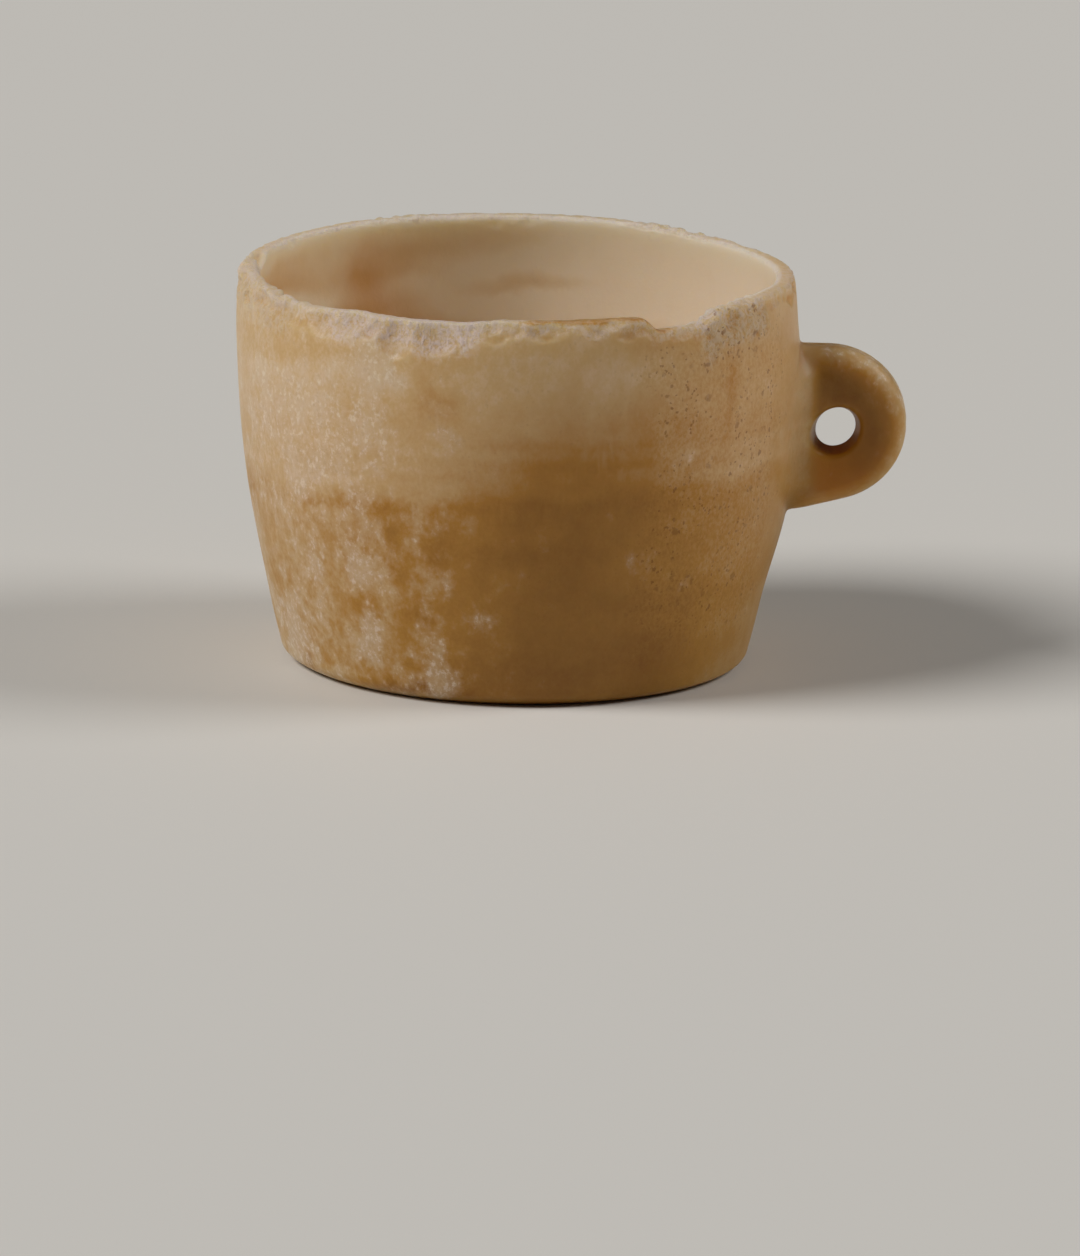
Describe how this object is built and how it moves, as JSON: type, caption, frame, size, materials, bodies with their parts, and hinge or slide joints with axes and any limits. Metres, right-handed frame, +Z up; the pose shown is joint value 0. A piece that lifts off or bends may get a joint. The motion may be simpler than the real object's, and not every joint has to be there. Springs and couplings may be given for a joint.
{
  "type": "calcite cup with pierced lug handle",
  "caption": "Small squat cup carved from one block of calcite, with a half-round lug on its side pierced by one drilled hole, and a chipped rim.",
  "frame": {"origin": "centre of the flat underside", "axes": "+Z up, +X from the cup's axis out through the lug handle, -Y towards the pictured side"},
  "size_m": [0.0867, 0.0724, 0.0514],
  "materials": {
    "calcite": "honey and cream calcite, softly translucent, worn satin, with whitish bruises along the rim"
  },
  "bodies": {
    "root": {"vessel": "calcite"}
  },
  "joints": []
}
